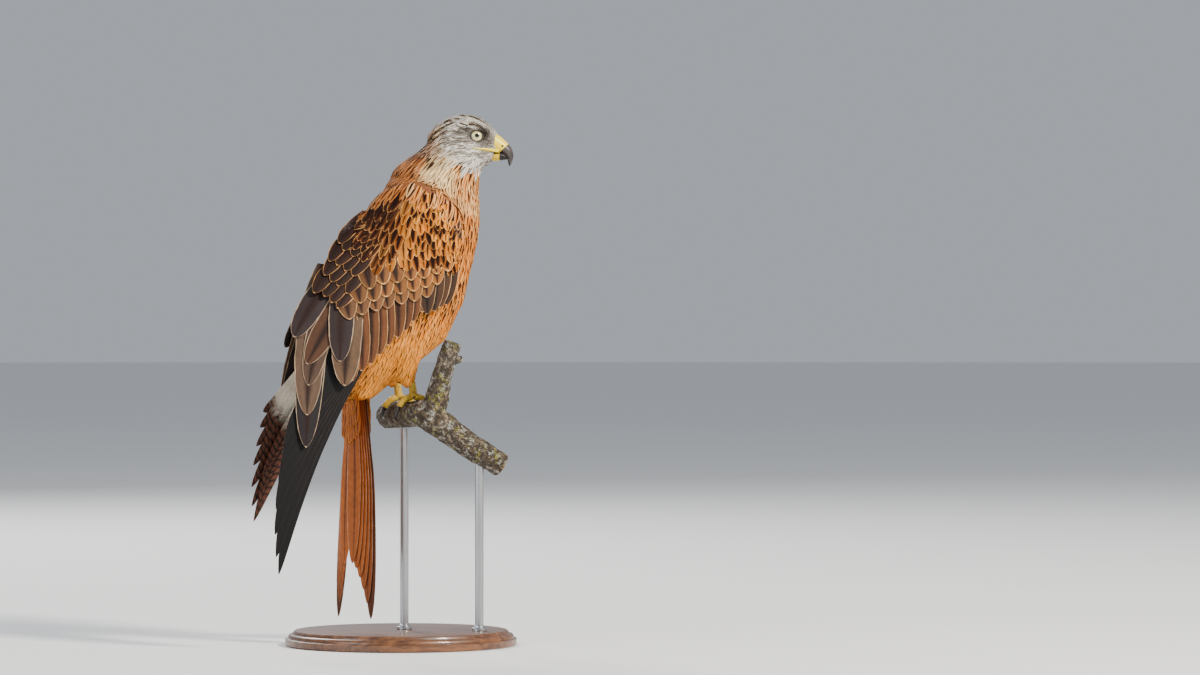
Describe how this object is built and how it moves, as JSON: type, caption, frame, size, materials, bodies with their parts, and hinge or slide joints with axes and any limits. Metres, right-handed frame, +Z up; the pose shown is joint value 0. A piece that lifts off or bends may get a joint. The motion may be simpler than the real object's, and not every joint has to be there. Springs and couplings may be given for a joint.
{
  "type": "perched red kite model",
  "caption": "Life-size still model of a perched red kite with folded wings, on a cut length of branch held over a round base by rods.",
  "frame": {"origin": "centre of the underside of the stand's base", "axes": "+X the way the bird's body faces, +Y the bird's left, +Z up"},
  "size_m": [0.3087, 0.27, 0.6212],
  "materials": {
    "rufous_plumage": "matt",
    "neck_plumage": "matt",
    "pale_head": "matt",
    "brown_wing": "satin",
    "rufous_tail": "satin",
    "bill_horn": "semi-gloss",
    "cere_skin": "satin",
    "eye_glass": "gloss",
    "foot_scutes": "satin",
    "claw_horn": "semi-gloss",
    "bark": "rough",
    "base_wood": "satin",
    "rod_steel": "satin"
  },
  "bodies": {
    "root": {"torso": "rufous_plumage", "neck": "neck_plumage", "head": "pale_head", "wing_left": "brown_wing", "wing_right": "brown_wing", "tail": "rufous_tail", "thigh_left": "rufous_plumage", "thigh_right": "rufous_plumage", "bill_upper": "bill_horn", "bill_lower": "bill_horn", "cere": "cere_skin", "eye_left": "eye_glass", "eye_right": "eye_glass", "foot_left": "foot_scutes", "foot_right": "foot_scutes", "claw_left_1": "claw_horn", "claw_left_2": "claw_horn", "claw_left_3": "claw_horn", "claw_left_4": "claw_horn", "claw_right_1": "claw_horn", "claw_right_2": "claw_horn", "claw_right_3": "claw_horn", "claw_right_4": "claw_horn", "perch_branch": "bark", "stand_base": "base_wood", "stand_rod_1": "rod_steel", "stand_rod_2": "rod_steel"}
  },
  "joints": []
}
